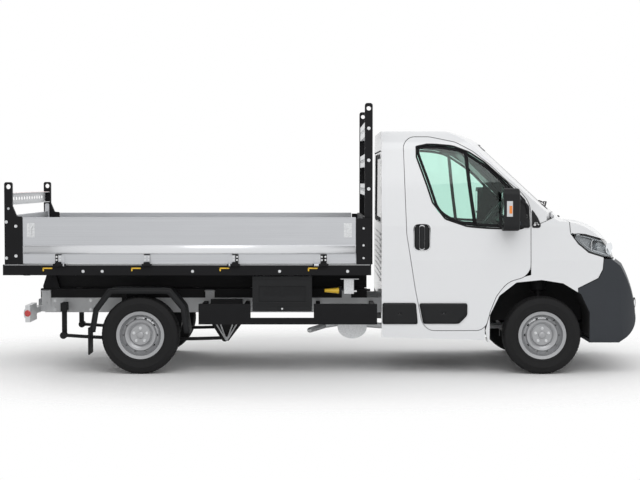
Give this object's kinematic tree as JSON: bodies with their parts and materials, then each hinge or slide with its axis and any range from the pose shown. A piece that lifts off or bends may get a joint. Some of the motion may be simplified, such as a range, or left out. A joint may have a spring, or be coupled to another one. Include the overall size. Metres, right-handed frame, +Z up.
{
  "type": "dropside truck",
  "caption": "Light dropside tipper truck with a single cab, steel wheels, ladder guards at both ends of the bed and an underbody tipping ram.",
  "frame": {"origin": "on the ground under the middle of the overall box", "axes": "+X forward, +Y to the truck's left, +Z up"},
  "size_m": [6.089, 2.53, 2.558],
  "materials": {
    "white_paint": "gloss",
    "board_aluminium": "satin",
    "galvanised": "satin",
    "black_paint": "satin",
    "chassis_paint": "satin",
    "bumper_plastic": "matte",
    "black_plastic": "matte",
    "lamp_lens": "gloss",
    "tail_lens": "gloss",
    "window_glass": "gloss",
    "seat_fabric": "matte",
    "engine_metal": "matte",
    "wheel_paint": "satin",
    "tyre_rubber": "matte",
    "ram_steel": "satin",
    "suspension_steel": "satin"
  },
  "bodies": {
    "chassis": {"cab_shell": "white_paint", "front_wings": "white_paint", "front_bumper": "bumper_plastic", "grille": "black_plastic", "headlamps": "lamp_lens", "cab_glass": "window_glass", "seats": "seat_fabric", "dashboard": "black_plastic", "chassis_rails": "chassis_paint", "crossmembers": "chassis_paint", "tipper_subframe": "black_paint", "engine": "engine_metal", "front_suspension": "suspension_steel", "rear_axle": "suspension_steel", "leaf_springs": "suspension_steel", "fuel_tank": "black_plastic", "silencer": "galvanised", "toolbox": "black_plastic", "side_guards": "black_paint", "mudguards": "black_plastic", "rear_lamps": "tail_lens"},
    "bonnet": {"bonnet": "white_paint"},
    "door_left": {"door_left": "white_paint", "door_glass_left": "window_glass", "mirror_left": "black_plastic"},
    "door_right": {"door_right": "white_paint", "door_glass_right": "window_glass", "mirror_right": "black_plastic"},
    "knuckle_left": {"knuckle_left": "suspension_steel"},
    "knuckle_right": {"knuckle_right": "suspension_steel"},
    "bed": {"bed_frame": "black_paint", "bed_floor": "galvanised", "headboard": "black_paint", "head_posts": "black_paint", "head_bars": "galvanised", "rear_posts": "black_paint", "ladder_bar": "galvanised"},
    "dropside_left": {"dropside_left": "board_aluminium"},
    "dropside_right": {"dropside_right": "board_aluminium"},
    "tailboard": {"tailboard": "board_aluminium"},
    "ram_barrel": {"ram_barrel": "black_paint"},
    "ram_stage_1": {"ram_stage_1": "ram_steel"},
    "ram_stage_2": {"ram_stage_2": "ram_steel"},
    "wheel_front_left": {"rim_front_left": "wheel_paint", "tyre_front_left": "tyre_rubber"},
    "wheel_front_right": {"rim_front_right": "wheel_paint", "tyre_front_right": "tyre_rubber"},
    "wheel_rear_left": {"rim_rear_left": "wheel_paint", "tyre_rear_left": "tyre_rubber"},
    "wheel_rear_right": {"rim_rear_right": "wheel_paint", "tyre_rear_right": "tyre_rubber"}
  },
  "joints": [
    {"name": "steer_left", "type": "hinge", "parent": "chassis", "child": "knuckle_left", "pos_m": [2.0425, 0.8, 0.23], "axis": [0, -0.206, 0.9785], "range_deg": [-35, 35]},
    {"name": "steer_right", "type": "hinge", "parent": "chassis", "child": "knuckle_right", "pos_m": [2.0425, -0.8, 0.23], "axis": [0, 0.206, 0.9785], "range_deg": [-35, 35]},
    {"name": "roll_front_left", "type": "hinge", "parent": "knuckle_left", "child": "wheel_front_left", "pos_m": [2.0425, 0.905, 0.367], "axis": [0, 1, 0], "continuous": true},
    {"name": "roll_front_right", "type": "hinge", "parent": "knuckle_right", "child": "wheel_front_right", "pos_m": [2.0425, -0.905, 0.367], "axis": [0, 1, 0], "continuous": true},
    {"name": "roll_rear_left", "type": "hinge", "parent": "chassis", "child": "wheel_rear_left", "pos_m": [-1.7575, 0.895, 0.367], "axis": [0, 1, 0], "continuous": true},
    {"name": "roll_rear_right", "type": "hinge", "parent": "chassis", "child": "wheel_rear_right", "pos_m": [-1.7575, -0.895, 0.367], "axis": [0, 1, 0], "continuous": true},
    {"name": "door_left_hinge", "type": "hinge", "parent": "chassis", "child": "door_left", "pos_m": [1.9245, 1.022, 1.1], "axis": [0, 0.0436, -0.9991], "range_deg": [0, 70]},
    {"name": "door_right_hinge", "type": "hinge", "parent": "chassis", "child": "door_right", "pos_m": [1.9245, -1.022, 1.1], "axis": [0, 0.0436, 0.9991], "range_deg": [0, 70]},
    {"name": "bonnet_hinge", "type": "hinge", "parent": "chassis", "child": "bonnet", "pos_m": [2.1505, 0, 1.52], "axis": [0, -1, 0], "range_deg": [0, 50]},
    {"name": "bed_tip", "type": "hinge", "parent": "chassis", "child": "bed", "pos_m": [-2.6975, 0, 0.88], "axis": [0, -1, 0], "range_deg": [0, 45]},
    {"name": "dropside_left_hinge", "type": "hinge", "parent": "bed", "child": "dropside_left", "pos_m": [-1.2, 1.045, 1.035], "axis": [-1, 0, 0], "range_deg": [0, 170]},
    {"name": "dropside_right_hinge", "type": "hinge", "parent": "bed", "child": "dropside_right", "pos_m": [-1.2, -1.045, 1.035], "axis": [1, 0, 0], "range_deg": [0, 170]},
    {"name": "tailboard_hinge", "type": "hinge", "parent": "bed", "child": "tailboard", "pos_m": [-2.9865, 0, 1.566], "axis": [0, 1, 0], "range_deg": [0, 75]},
    {"name": "ram_swing", "type": "hinge", "parent": "chassis", "child": "ram_barrel", "pos_m": [-1.4975, 0, 0.38], "axis": [0, -1, 0], "range_deg": [0, 15.9]},
    {"name": "ram_extend_1", "type": "slide", "parent": "ram_barrel", "child": "ram_stage_1", "axis": [0, 0, 1], "range_m": [0, 0.443]},
    {"name": "ram_extend_2", "type": "slide", "parent": "ram_stage_1", "child": "ram_stage_2", "axis": [0, 0, 1], "range_m": [0, 0.443]}
  ],
  "couplings": [
    {"joint": "steer_right", "follows": "steer_left", "ratio": 1},
    {"joint": "ram_swing", "follows": "bed_tip", "ratio": 0.351},
    {"joint": "ram_extend_1", "follows": "bed_tip", "m_per_rad": 0.564},
    {"joint": "ram_extend_2", "follows": "bed_tip", "m_per_rad": 0.564}
  ]
}
